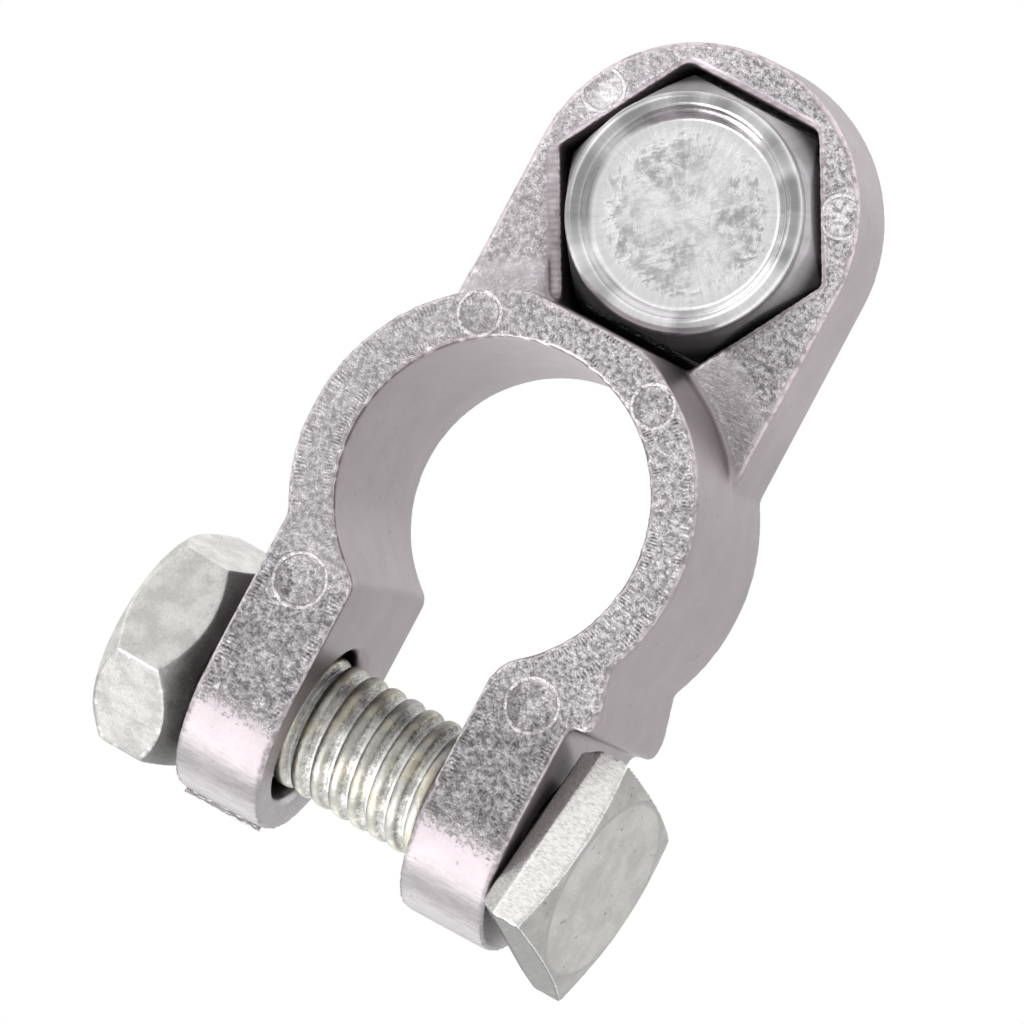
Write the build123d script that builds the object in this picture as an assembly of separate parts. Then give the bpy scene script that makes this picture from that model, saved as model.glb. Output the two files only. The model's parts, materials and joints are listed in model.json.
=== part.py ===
from build123d import *
import os
from math import cos, radians, sin, sqrt, tan

# Battery terminal clamp: a die-cast split ring with two ears and a stud lug,
# drawn together by a square-headed M8 bolt and its nut, and carrying an M8 stud bolt
# whose hexagon head sits in a pocket under the lug.
#
# Frame: +Z is the post's axis, pointing up as the clamp is worn. The origin is on that
# axis, in the flat underside. +Y points from the post to the stud. Sizes are millimetres.

os.makedirs("parts", exist_ok=True)

# Split ring
HEIGHT = 14.0               # of the ring, the ears and the lug's upper face
RING_R = 11.6               # outside
POST_R_BOTTOM = 8.9         # bore for the tapered post, wide end down
POST_R_TOP = 8.25
POST_TAPER = 1 / 9          # on the diameter, as battery posts have
POST_TAPER_TOP_Z = (POST_R_BOTTOM - POST_R_TOP) * 2 / POST_TAPER

# Ears
GAP_HALF = 4.6              # half the slot between the ears
EAR_OUT = 9.95              # outer face of each ear
EAR_ROUND_Y = -15.0         # centre of the ears' full-round ends
EAR_ROUND_R = HEIGHT / 2
MOUTH_ROUND_NUT = 0.8       # corner from bore to slot, nut side
MOUTH_ROUND_HEAD = 2.2      # the same, head side
CROTCH_ROUND = 0.4          # inside corner from ring to ear

# Shoulder that keeps the square head from turning, on the head's ear
SHOULDER_X = 11.2
SHOULDER_CROTCH_X = 10.45   # where the shoulder leaves the ring
SHOULDER_TOP_Y = -4.9
SHOULDER_Y = -8.9           # its face beside the head
SHOULDER_KNEE_Y = -7.6      # where its sloping flank ends
SHOULDER_ROUND = 0.6

# Bolt holes through the ears
BOLT_Y = -15.65
BOLT_Z = HEIGHT / 2
BOLT_HOLE_R = 4.55
BOLT_HOLE_LEAD = 0.35       # countersink at the slot

# Stud lug
STUD_Y = 18.65
LUG_R = 9.6
LUG_ROOT_Y = 4.0            # the lug's sides start here, inside the ring
LUG_OVERLAP = 1.0           # how far the lug's solid runs into the ring's wall
LUG_FACE_Z = 7.95           # underside of the lug
LUG_BAND_R = 14.1           # a raised band of the lug's underside round the ring
LUG_BAND_RISE = 0.15
POCKET_AF = 14.7
POCKET_ROOF_Z = 11.8        # the stud's head bears here
POCKET_RING_FLAT_Y = 11.05  # the pocket's core runs on into the ring's wall
POCKET_LEDGES = [           # direction of the flat, width, depth, at the pocket's mouth
    (-30.0, 0.65, 0.3),
    (90.0, 0.35, 0.3),
]
STUD_HOLE_R = 4.2

# Ejector-pin marks: x, y, radius; each is mirrored in X
PIN_MARK_DEPTH = 0.15
RING_PIN_MARKS = [(7.5, -8.85, 1.5), (5.6, 8.65, 1.2)]
LUG_PIN_MARKS = [(7.7, 22.5, 1.2)]

# M8 fasteners
THREAD_R = 3.9              # over the crests
NUT_BORE_R = 3.95
NUT_AF = 12.0
NUT_THICK = 5.5
NUT_SEAT_R = 5.2            # the flat left inside the chamfer, bearing side
NUT_FACE_R = 5.9            # the same, outer side
NUT_LEAD = 0.5              # countersink at both ends of the bore
BOLT_END_CHAMFER = 0.7

# Clamp bolt
SQUARE_AF = 11.0
SQUARE_THICK = 3.45
SQUARE_FACE_R = 5.35        # flat circle on the outer face
SQUARE_CHAMFER_DEG = 14.0
SQUARE_BEVEL_LENGTH = 1.15  # round the bearing side, along the bolt
SQUARE_BEVEL_DEPTH = 0.5
SQUARE_SKEW_DEG = 3.5       # the forged head isn't quite square to its shank
SHANK_SUNK = 1.5            # how far the shank runs into the head
CLAMP_BOLT_LENGTH = 25.0    # under the head
HEAD_BEARING_X = -10.42     # bearing face, on the bolt's axis
NUT_BEARING_X = 10.35
BOLT_LEAN_DEG = 1.5         # the bolt lies askew in its holes: towards +Y at the nut
BOLT_TILT_DEG = 2.8         # and up at the nut
SQUARE_TURN_DEG = 15.0      # the head rests turned against the shoulder
NUT_TURN_DEG = 16.6

# Stud bolt, its washers and its nut
STUD_HEAD_AF = 13.9
STUD_HEAD_THICK = 5.3
STUD_DISH_PROFILE = [       # radius and depth, from the dish's floor to its wall
    (5.25, 1.0),
    (5.6, 0.65),
    (5.75, 0.3),
]
STUD_RIM_TOP_R = 6.05       # highest ring of the rounded rim
STUD_RIM_OUTER = (6.7, 0.8)
STUD_CORNER_DEPTH = 3.2     # the hexagon's corners start this far down
STUD_LENGTH = 20.0          # under the head
WASHER_R = 8.0
WASHER_BORE_R = 4.2
WASHER_THICK = 1.6
SPRING_R = 6.7
SPRING_THICK = 2.0
SPRING_SLIT = 1.0
SPRING_SLIT_LEAN_DEG = 20.0
SPRING_TURN_DEG = 50.0
STUD_NUT_TURN_DEG = 30.0    # flats face +X and -X

HEX_CORNER = 2 / sqrt(3)    # corner radius over half the width across flats
BIG = 60.0                  # longer than any piece
EDGE_SEEK = 0.15            # how near an edge lies to where it is looked for
STEEP = 0.9                 # least share of an upright edge's length that is height


def write(node, solid):
    """One STEP file for each node."""
    solid.label = node
    export_step(solid, f"parts/{node}.step")


def hexagon(across_flats, turn_deg=0.0):
    """A hexagon with a corner on its X axis, turned by an angle."""
    return RegularPolygon(across_flats / 2 * HEX_CORNER, 6, rotation=turn_deg)


def turned(points):
    """A solid of revolution about Z from (radius, height) corners."""
    return revolve(Plane.XZ * make_face(Polyline(*points, close=True)), Axis.Z)


def split_ring():
    """The ring, its ears and the shoulder, with the tapered bore and the slot."""
    ring = extrude(Circle(RING_R), HEIGHT)
    ear_length = abs(EAR_ROUND_Y) + EAR_ROUND_R
    ears = extrude(
        Pos(0, -ear_length / 2) * Rectangle(2 * EAR_OUT, ear_length), HEIGHT
    )
    shoulder = extrude(
        make_face(
            Polyline(
                (0, SHOULDER_TOP_Y),
                (-SHOULDER_CROTCH_X, SHOULDER_TOP_Y),
                (-SHOULDER_X, SHOULDER_KNEE_Y),
                (-SHOULDER_X, SHOULDER_Y),
                (0, SHOULDER_Y),
                close=True,
            )
        ),
        HEIGHT,
    )
    knee = shoulder.edges().filter_by(Axis.Z).sort_by(Axis.X)[0:2]
    shoulder = fillet(knee, SHOULDER_ROUND)
    body = ring + ears + shoulder

    # The ears end in a full round, seen from the side.
    side_view = Plane.YZ * (
        Pos(EAR_ROUND_Y + BIG / 2, HEIGHT / 2) * Rectangle(BIG, HEIGHT)
        + Pos(EAR_ROUND_Y, HEIGHT / 2) * Circle(EAR_ROUND_R)
    )
    body = body & extrude(side_view, BIG / 2, both=True)

    crotches = upright_edges(
        body,
        lambda x, y: SHOULDER_KNEE_Y < y < 0 and abs(x) < SHOULDER_CROTCH_X + EDGE_SEEK,
    )
    body = fillet(crotches, CROTCH_ROUND)

    slot = extrude(Pos(0, -BIG / 2) * Rectangle(2 * GAP_HALF, BIG), HEIGHT)
    body = body - post_bore() - slot
    for side, radius in ((1, MOUTH_ROUND_NUT), (-1, MOUTH_ROUND_HEAD)):
        mouth = upright_edges(
            body,
            lambda x, y: -RING_R < y < 0 and abs(x - side * GAP_HALF) < EDGE_SEEK,
        )
        body = fillet(mouth, radius)
    return body


def post_bore():
    """The hole for the post: tapered, wide end down, with a straight land on top."""
    return turned(
        [
            (0, 0),
            (POST_R_BOTTOM, 0),
            (POST_R_TOP, POST_TAPER_TOP_Z),
            (POST_R_TOP, HEIGHT),
            (0, HEIGHT),
        ]
    )


def upright_edges(solid, where):
    """The upright edges whose middle is at an x and y that the test takes."""
    return solid.edges().filter_by(
        lambda edge: edge.bounding_box().size.Z > STEEP * edge.length
        and where(edge.center().X, edge.center().Y)
    )


def stud_lug():
    """The lug's solid, from inside the ring's wall to its round end."""
    lug_depth = HEIGHT - LUG_FACE_Z
    neck = Rectangle(2 * LUG_R, STUD_Y - LUG_ROOT_Y)
    outline = Pos(0, STUD_Y) * Circle(LUG_R) + Pos(0, (STUD_Y + LUG_ROOT_Y) / 2) * neck
    lug = extrude(Pos(0, 0, LUG_FACE_Z) * outline, lug_depth)
    band = extrude(
        Pos(0, 0, LUG_FACE_Z - LUG_BAND_RISE) * (outline & Circle(LUG_BAND_R)),
        lug_depth,
    )
    return lug + band - extrude(Circle(RING_R - LUG_OVERLAP), HEIGHT)


def pocket():
    """The stud head's hexagon pocket, open downward and against the ring's wall."""
    depth = POCKET_ROOF_Z
    well = extrude(Pos(0, STUD_Y) * hexagon(POCKET_AF), depth)
    flat_half = POCKET_AF / 2 / sqrt(3)
    run_on = extrude(
        Pos(0, (POCKET_RING_FLAT_Y + STUD_Y) / 2)
        * Rectangle(2 * flat_half, STUD_Y - POCKET_RING_FLAT_Y),
        depth,
    )
    return well + run_on + pocket_mouth()


def pocket_mouth():
    """The shallow ledges along two of the mouth's six flats."""
    ledges = []
    for direction_deg, width, depth in POCKET_LEDGES:
        ledge = Box(2 * width, POCKET_AF / sqrt(3), 2 * depth)
        ledges.append(
            Pos(0, STUD_Y, LUG_FACE_Z)
            * Rot(0, 0, direction_deg)
            * Pos(POCKET_AF / 2, 0)
            * ledge
        )
    return ledges


def pin_marks():
    """Shallow rounds where the ejector pins pushed the casting out."""
    marks = []
    for face_z, spots in ((0, RING_PIN_MARKS), (LUG_FACE_Z, LUG_PIN_MARKS)):
        for x, y, radius in spots:
            for side in (1, -1):
                marks.append(
                    Pos(side * x, y, face_z) * Cylinder(radius, 2 * PIN_MARK_DEPTH)
                )
    return marks


def clamp_body():
    """The casting: ring, ears, shoulder and stud lug in one piece."""
    body = split_ring() + stud_lug() - pocket()

    bolt_hole = Pos(0, BOLT_Y, BOLT_Z) * Rot(0, 90, 0) * Cylinder(BOLT_HOLE_R, BIG)
    lead_r = BOLT_HOLE_R + BOLT_HOLE_LEAD
    lead = Pos(0, BOLT_Y, BOLT_Z) * Rot(0, 90, 0) * turned(
        [
            (0, -GAP_HALF - BOLT_HOLE_LEAD),
            (BOLT_HOLE_R, -GAP_HALF - BOLT_HOLE_LEAD),
            (lead_r, -GAP_HALF),
            (lead_r, GAP_HALF),
            (BOLT_HOLE_R, GAP_HALF + BOLT_HOLE_LEAD),
            (0, GAP_HALF + BOLT_HOLE_LEAD),
        ]
    )
    stud_hole = Pos(0, STUD_Y, HEIGHT / 2) * Cylinder(STUD_HOLE_R, HEIGHT)
    body = body - bolt_hole - lead - stud_hole
    for mark in pin_marks():
        body = body - mark
    return body


def hexagon_nut():
    """A hexagon nut about Z, from z = 0 up, chamfered on both faces."""
    corner_r = NUT_AF / 2 * HEX_CORNER
    blank = extrude(hexagon(NUT_AF), NUT_THICK)
    envelope = turned(
        [
            (0, 0),
            (NUT_SEAT_R, 0),
            (corner_r, corner_r - NUT_SEAT_R),
            (corner_r, NUT_THICK - corner_r + NUT_FACE_R),
            (NUT_FACE_R, NUT_THICK),
            (0, NUT_THICK),
        ]
    )
    hole = turned(
        [
            (0, 0),
            (NUT_BORE_R + NUT_LEAD, 0),
            (NUT_BORE_R, NUT_LEAD),
            (NUT_BORE_R, NUT_THICK - NUT_LEAD),
            (NUT_BORE_R + NUT_LEAD, NUT_THICK),
            (0, NUT_THICK),
        ]
    )
    return (blank & envelope) - hole


def shank(length):
    """A plain shank about Z, from z = 0 up, with a chamfered end."""
    return turned(
        [
            (0, 0),
            (THREAD_R, 0),
            (THREAD_R, length - BOLT_END_CHAMFER),
            (THREAD_R - BOLT_END_CHAMFER, length),
            (0, length),
        ]
    )


def square_bolt():
    """The clamp bolt about Z: its square head below z = 0, its shank above."""
    corner_r = SQUARE_AF / 2 * sqrt(2)
    drop = (corner_r - SQUARE_FACE_R) * tan(radians(SQUARE_CHAMFER_DEG))
    head = extrude(Rectangle(SQUARE_AF, SQUARE_AF), -SQUARE_THICK)
    bearing = head.faces().sort_by(Axis.Z)[-1]
    head = chamfer(bearing.edges(), SQUARE_BEVEL_DEPTH, SQUARE_BEVEL_LENGTH, reference=bearing)
    envelope = turned(
        [
            (0, -SQUARE_THICK),
            (SQUARE_FACE_R, -SQUARE_THICK),
            (corner_r, -SQUARE_THICK + drop),
            (corner_r, 0),
            (0, 0),
        ]
    )
    near_edge = Pos(0, -SQUARE_AF / 2, -SQUARE_BEVEL_LENGTH)
    skew = near_edge * Rot(-SQUARE_SKEW_DEG, 0, 0) * near_edge.inverse()
    root = Pos(0, 0, -SHANK_SUNK) * extrude(Circle(THREAD_R), SHANK_SUNK)
    return skew * (head & envelope) + root + shank(CLAMP_BOLT_LENGTH)


def bolt_place():
    """The clamp bolt's directions: from the head along the shank, and along a flat."""
    lean = radians(BOLT_LEAN_DEG)
    tilt = radians(BOLT_TILT_DEG)
    along = Vector(cos(lean) * cos(tilt), sin(lean) * cos(tilt), sin(tilt))
    turn = radians(SQUARE_TURN_DEG)
    side = Vector(0, cos(turn), sin(turn))
    side = side - along * along.dot(side)
    return along, side


def on_bolt(distance):
    """A plane square to the clamp bolt, a distance along it from the clamp's middle."""
    along, side = bolt_place()
    middle = Vector(0, BOLT_Y, BOLT_Z)
    return Plane(origin=middle + along * distance, x_dir=side, z_dir=along)


def stud_bolt():
    """The stud bolt, head down: a hexagon head with a rounded rim and a dished top."""
    corner_r = STUD_HEAD_AF / 2 * HEX_CORNER
    low = POCKET_ROOF_Z - STUD_HEAD_THICK
    blank = extrude(Pos(0, 0, low) * hexagon(STUD_HEAD_AF), STUD_HEAD_THICK)
    dish = [(radius, low + depth) for radius, depth in STUD_DISH_PROFILE]
    rim_outer_r, rim_outer_depth = STUD_RIM_OUTER
    rim = [dish[-1], (STUD_RIM_TOP_R, low), (rim_outer_r, low + rim_outer_depth)]
    inner = Polyline((0, POCKET_ROOF_Z), (0, low + STUD_DISH_PROFILE[0][1]), *dish)
    outer = Polyline(
        rim[-1],
        (corner_r, low + STUD_CORNER_DEPTH),
        (corner_r, POCKET_ROOF_Z),
        (0, POCKET_ROOF_Z),
    )
    outline = inner + ThreePointArc(*rim) + outer
    envelope = revolve(Plane.XZ * make_face(outline), Axis.Z)
    head = blank & envelope
    bolt = head + Pos(0, 0, POCKET_ROOF_Z) * shank(STUD_LENGTH)
    return Pos(0, STUD_Y) * bolt


def plain_washer():
    """The flat washer on the lug's upper face."""
    ring = Circle(WASHER_R) - Circle(WASHER_BORE_R)
    return Pos(0, STUD_Y, HEIGHT) * extrude(ring, WASHER_THICK)


def spring_washer():
    """The split spring washer, pressed flat, with its slanting slit."""
    ring = extrude(Circle(SPRING_R) - Circle(WASHER_BORE_R), SPRING_THICK)
    slit = (
        Pos((SPRING_R + WASHER_BORE_R) / 2, 0, SPRING_THICK / 2)
        * Rot(SPRING_SLIT_LEAN_DEG, 0, 0)
        * Box(SPRING_R, SPRING_SLIT, 3 * SPRING_THICK)
    )
    return Pos(0, STUD_Y, HEIGHT + WASHER_THICK) * Rot(0, 0, SPRING_TURN_DEG) * (ring - slit)


def main():
    write("clamp_body", clamp_body())
    write("clamp_bolt", on_bolt(HEAD_BEARING_X) * square_bolt())
    turn = NUT_TURN_DEG - SQUARE_TURN_DEG
    write("clamp_nut", on_bolt(NUT_BEARING_X) * Rot(0, 0, turn) * hexagon_nut())
    write("stud_bolt", stud_bolt())
    write("stud_washer", plain_washer())
    write("stud_spring_washer", spring_washer())
    nut_z = HEIGHT + WASHER_THICK + SPRING_THICK
    write("stud_nut", Pos(0, STUD_Y, nut_z) * Rot(0, 0, STUD_NUT_TURN_DEG) * hexagon_nut())


main()
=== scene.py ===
"""A die-cast battery terminal clamp: the finish of its casting, bolts, nuts and washers.

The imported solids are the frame. Each piece is a merged copy of its solid with its edges
rounded, or is modelled afresh where the solid is plainer than the real thing: the threads
on both bolts and the flash on the casting's parting line.

Sizes are in metres. +Z is the post's axis, and +Y points from the post to the stud.
"""

import json
import math

import bpy
from bpy.props import FloatProperty, FloatVectorProperty, PointerProperty
from mathutils import Matrix, Vector


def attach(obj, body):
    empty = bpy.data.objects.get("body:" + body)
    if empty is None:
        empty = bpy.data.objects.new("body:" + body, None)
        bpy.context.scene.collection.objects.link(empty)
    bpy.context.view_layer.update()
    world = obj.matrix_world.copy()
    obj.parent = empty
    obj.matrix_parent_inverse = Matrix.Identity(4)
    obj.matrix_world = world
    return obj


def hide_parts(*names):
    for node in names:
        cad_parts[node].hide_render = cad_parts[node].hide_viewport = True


bl_info = {
    "name": "Battery Terminal Clamp",
    "version": (1, 0, 0),
    "blender": (4, 5, 0),
    "location": "3D View > Sidebar > Clamp",
    "description": "Finishes a die-cast battery terminal clamp and its fasteners",
    "category": "Object",
}

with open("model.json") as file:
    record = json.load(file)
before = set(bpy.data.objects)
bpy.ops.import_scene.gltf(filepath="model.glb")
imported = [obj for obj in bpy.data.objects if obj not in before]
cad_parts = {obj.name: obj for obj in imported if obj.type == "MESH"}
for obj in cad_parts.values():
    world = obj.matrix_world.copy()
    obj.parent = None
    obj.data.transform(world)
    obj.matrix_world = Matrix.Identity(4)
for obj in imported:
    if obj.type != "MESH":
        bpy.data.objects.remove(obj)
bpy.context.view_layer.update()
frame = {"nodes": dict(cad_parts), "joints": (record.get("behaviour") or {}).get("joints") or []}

MM = 0.001

# The clamp bolt's axis, from the joint of the nut that turns on it.
CLAMP_JOINT = next(j for j in frame["joints"] if j["name"] == "clamp_nut_turn")
BOLT_MIDDLE = Vector(CLAMP_JOINT["pos_m"])
BOLT_AXIS = Vector(CLAMP_JOINT["axis"]).normalized()
STUD_JOINT = next(j for j in frame["joints"] if j["name"] == "stud_nut_turn")
STUD_MIDDLE = Vector((STUD_JOINT["pos_m"][0], STUD_JOINT["pos_m"][1], 0))
STUD_AXIS = Vector((0, 0, 1))

# Where each bolt's head ends and its shank starts, along the axis from its middle.
SQUARE_BEARING = -10.42 * MM
STUD_BEARING = 11.8 * MM

# M8 coarse thread
THREAD_CREST_R = 3.86 * MM
THREAD_ROOT_R = 3.38 * MM
THREAD_END_CHAMFER = 0.6 * MM
THREAD_STEPS = 64
THREAD_PHASE = 0.79         # turns past a root at each head's bearing face, on the +Y side
PLAIN_NECK = 1.5 * MM       # the bare length of shank under each head
THREAD_SUNK = 0.3 * MM      # how far the thread starts inside the neck
BAR_SPARE = 0.2 * MM        # how much wider than the crests the bar is that trims them

# The flash on the parting line, halfway up the end of the ear beside the nut.
FLASH_X = (4.9 * MM, 9.7 * MM)
FLASH_Y = -22.0 * MM
FLASH_Z = 7.0 * MM
FLASH_THICK = 0.13 * MM
FLASH_CUTS = 15
FLASH_WANDER = 0.05 * MM
FLASH_SEED = 4

# How near two points of a mesh are one point.
MERGE = 0.001 * MM
THREAD_MERGE = 0.002 * MM
CUT_MERGE = 0.00001 * MM    # a coarser cut leaves gaps along a thread's fine faces

SMOOTH_DEG = 40             # a sharper edge than this stays crisp

# The bare metal of the ears' rounded ends, cleaner than the other walls.
EAR_END = (0.39, 0.37, 0.377)

# The cream patches on the threads' crests, and the white of the painted highlight down in their
# roots.
CREAM = (0.80, 0.74, 0.56)
ROOT_PAINTED_HIGHLIGHT = (1.0, 1.0, 0.98)

# The materials' places are in millimetres: first the clamp bolt's holes, the gap between
# the ears, the nut's bearing face and the stud's pocket.
STUD_CENTRE = (STUD_MIDDLE.x / MM, STUD_MIDDLE.y / MM, 0)
HOLE_R = 4.55
GAP_SIDE_X = 4.6
NUT_BEARING_X = 10.35
POCKET_MOUTH_Z = 7.95
POCKET_CORNER_R = 8.5
LEDGE_DEPTH = 0.3

# Ejector-pin marks: x on both sides, y, radius.
PIN_MARKS = ((7.5, -8.85, 1.5), (5.6, 8.65, 1.2), (7.7, 22.5, 1.2))

# Rows of tool ticks on the ring and the ears: their middle and reach.
RING_TICKS_R = ((11.05, 0.35), (9.45, 0.3))
EAR_TICKS_X = ((9.4, 0.35), (5.15, 0.35))

# Where each of the casting's finishes starts and where it is full.
FLATS_FROM_Y = (-21.8, -21.5)
EARS_FROM_Y = (-7.5, -10.5)
EAR_ENDS_FROM_Y = (-18.0, -20.5)
WORN_EDGES_FROM_Y = (-20.0, -19.0)
WORN_SIDE_FROM_X = (0, 6)
WORN_SIDE_FROM_Y = (-9, -7)
LUG_FROM_Y = (8.0, 12.0)
LUG_FACE_FROM_Z = (6, 7)
BAND_FROM_R = (11.5, 11.8)
BAND_TO_R = (14.3, 13.9)
POCKET_TO_Z = (13.0, 12.5)

# The same for the fasteners' finishes, with radii about each one's own axis.
CLAMP_NUT_FROM_Y = (-5.0, -8.0)
FACE_CIRCLE_R = 5.3
FACE_CORNER_R = (5.1, 5.6)
NECK_R = (4.3, 4.0)
NECK_FROM_X = (-12.0, -11.0)
DISH_R = (3.7, 5.0)         # full inside the first, gone outside the second
RIM_FROM_R = (5.2, 5.5)
RIM_TO_R = (6.75, 6.6)
FLANK_FROM_R = (6.65, 6.8)
FLANK_CORNER_R = (7.2, 7.7)

# Where the camera stands and looks.
CAMERA_PLACE = Vector((-503.081, 38.996, -1722.274)) * MM
CAMERA_AIM = Vector((0.6844, -0.2401, 7.0)) * MM
CAMERA_ROLL_DEG = 113.7185
CAMERA_LENS_MM = 1156.806
SENSOR_MM = 36.0
CAMERA_NEAR, CAMERA_FAR = 0.5, 10.0

FLOOR_R = 1.5
FLOOR_Z = -0.02 * MM


# ---------------------------------------------------------------- settings

class CastingSettings(bpy.types.PropertyGroup):
    """Sizes and colours of the casting."""

    grain: FloatProperty(
        name="Mesh grain",
        description="Size of the casting's mesh faces; its edges are rounded by about as much",
        default=0.22 * MM, min=0, unit="LENGTH",
    )
    face_colour: FloatVectorProperty(
        name="Face colour",
        description="Colour of the bare alloy on the flat, crumbly faces",
        default=(0.50, 0.475, 0.49), size=3, subtype="COLOR", min=0, max=1,
    )
    wall_colour: FloatVectorProperty(
        name="Wall colour",
        description="Colour of the bare alloy on the smooth upright walls",
        default=(0.38, 0.338, 0.357), size=3, subtype="COLOR", min=0, max=1,
    )
    flash: FloatProperty(
        name="Flash",
        description="How far the flash stands out from the parting line of one ear's end",
        default=0.25 * MM, min=0, unit="LENGTH",
    )


class FastenerSettings(bpy.types.PropertyGroup):
    """Sizes and colours of the plated bolts, nuts and washers."""

    pitch: FloatProperty(
        name="Thread pitch",
        description="Travel of a nut in one turn",
        default=1.25 * MM, min=0, unit="LENGTH",
    )
    grain: FloatProperty(
        name="Mesh grain",
        description="Size of the mesh faces of heads and nuts; their edges are rounded as much",
        default=0.11 * MM, min=0, unit="LENGTH",
    )
    colour: FloatVectorProperty(
        name="Plating colour",
        description="Colour of the bright zinc plating",
        default=(0.78, 0.77, 0.74), size=3, subtype="COLOR", min=0, max=1,
    )
    stud_colour: FloatVectorProperty(
        name="Stud colour",
        description="Colour of the cooler plating on the stud's head",
        default=(0.80, 0.79, 0.80), size=3, subtype="COLOR", min=0, max=1,
    )
    thread_colour: FloatVectorProperty(
        name="Thread colour",
        description="Colour of the duller, yellowish plating on the threads' crests",
        default=(0.63, 0.62, 0.565), size=3, subtype="COLOR", min=0, max=1,
    )


class StageSettings(bpy.types.PropertyGroup):
    """The floor and the lamps."""

    key_power: FloatProperty(
        name="Key lamp",
        description="Power of the tall lamp that makes the main highlights",
        default=1.6, min=0, unit="POWER",
    )
    fill_power: FloatProperty(
        name="Fill lamps",
        description="Power of each soft lamp",
        default=0.4, min=0, unit="POWER",
    )


# ---------------------------------------------------------------- mesh helpers

def activate(piece):
    """Makes a piece the only one selected."""
    bpy.ops.object.select_all(action="DESELECT")
    piece.select_set(True)
    bpy.context.view_layer.objects.active = piece


def edit(piece):
    """Opens a piece in edit mode with nothing selected."""
    activate(piece)
    bpy.ops.object.mode_set(mode="EDIT")
    bpy.ops.mesh.select_all(action="DESELECT")


def leave_edit():
    """Goes back to object mode."""
    bpy.ops.object.mode_set(mode="OBJECT")


def edit_all(piece):
    """Opens a piece in edit mode with everything selected."""
    edit(piece)
    bpy.ops.mesh.select_all(action="SELECT")


def edit_top(piece):
    """Opens a piece in edit mode with only its top faces selected."""
    edit(piece)
    leave_edit()
    for face in piece.data.polygons:
        face.select = face.normal.z > 0.9
    bpy.ops.object.mode_set(mode="EDIT")
    bpy.ops.mesh.select_mode(type="FACE")


def merge_doubles(piece, distance):
    """Makes one point of those nearer than a distance."""
    edit_all(piece)
    bpy.ops.mesh.remove_doubles(threshold=distance)
    leave_edit()


def cad_copy(node, name):
    """A merged copy of a solid's mesh."""
    piece = bpy.data.objects.new(name, frame["nodes"][node].data.copy())
    piece.data.name = name
    piece.data.materials.clear()
    bpy.context.scene.collection.objects.link(piece)
    merge_doubles(piece, MERGE)
    return piece


def apply_modifier(piece, modifier):
    """Applies one modifier to its piece."""
    activate(piece)
    bpy.ops.object.modifier_apply(modifier=modifier.name)


def soften_edges(piece, grain, passes):
    """Gives a piece an even fine mesh, and rounds its edges as casting or forging does."""
    remesh = piece.modifiers.new("remesh", "REMESH")
    remesh.mode = "VOXEL"
    remesh.voxel_size = grain
    remesh.use_smooth_shade = True
    apply_modifier(piece, remesh)
    soften = piece.modifiers.new("soften", "SMOOTH")
    soften.factor = 0.5
    soften.iterations = passes
    apply_modifier(piece, soften)


def smooth(piece):
    """Smooth shading, with sharp edges left crisp."""
    activate(piece)
    bpy.ops.object.shade_smooth_by_angle(angle=math.radians(SMOOTH_DEG))


def draw_outline(name, points):
    """An open outline in the XZ plane, drawn point by point from (radius, height) pairs."""
    bpy.ops.object.select_all(action="DESELECT")
    bpy.ops.mesh.primitive_plane_add(size=MM)
    piece = bpy.context.object
    piece.name = name
    bpy.ops.object.mode_set(mode="EDIT")
    bpy.ops.mesh.select_mode(type="VERT")
    bpy.ops.mesh.select_all(action="SELECT")
    bpy.ops.mesh.merge(type="CENTER")
    last = Vector((0, 0, 0))
    for index, (radius, height) in enumerate(points):
        step = Vector((radius, 0, height)) - last
        if index == 0:
            bpy.ops.transform.translate(value=step)
        else:
            bpy.ops.mesh.extrude_vertices_move(TRANSFORM_OT_translate={"value": step})
        last += step
    leave_edit()
    return piece


def place(piece, origin, axis):
    """Puts a piece made about Z onto an axis, its X side towards +Y, in its mesh."""
    side = Vector((0, 1, 0))
    across = (side - axis * side.dot(axis)).normalized()
    turn = Matrix((across, axis.cross(across), axis)).transposed().to_4x4()
    piece.data.transform(Matrix.Translation(origin) @ turn)


def thread_points(crest, root, pitch, turns):
    """One side of a rolled thread: wide rounded crests and a faint fold in each root."""
    deep = crest - root
    shares = (
        (0.00, root), (0.05, root + 0.15 * deep), (0.10, root), (0.19, root + 0.62 * deep),
        (0.24, crest - 0.18 * deep), (0.34, crest - 0.04 * deep), (0.49, crest),
        (0.64, crest - 0.04 * deep), (0.75, crest - 0.18 * deep),
        (0.80, root + 0.62 * deep), (0.89, root),
    )
    points = []
    for turn in range(turns):
        points += [(radius, (turn + share) * pitch) for share, radius in shares]
    points.append((root, turns * pitch))
    return points


def thread_rod(name, length, pitch, phase):
    """A threaded rod about Z, from z = 0 up, with a chamfered far end.

    The phase is how many turns past a root its X side is at z = 0.
    """
    turns = math.ceil(length / pitch) + 3
    rod = draw_outline(name, thread_points(THREAD_CREST_R, THREAD_ROOT_R, pitch, turns))
    screw = rod.modifiers.new("screw", "SCREW")
    screw.axis = "Z"
    screw.angle = math.tau
    screw.screw_offset = pitch
    screw.steps = THREAD_STEPS
    screw.render_steps = THREAD_STEPS
    apply_modifier(rod, screw)
    rod.data.transform(Matrix.Translation((0, 0, -(1.0 + phase) * pitch)))
    merge_doubles(rod, THREAD_MERGE)
    cut_off(rod, (0, 0, 0), (0, 0, -1))
    cut_off(rod, (0, 0, length + pitch / 4), (0, 0, 1))
    edit_all(rod)
    bpy.ops.mesh.normals_make_consistent(inside=False)
    leave_edit()
    keep_shared(rod, chamfered_bar(length))
    return rod


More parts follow.
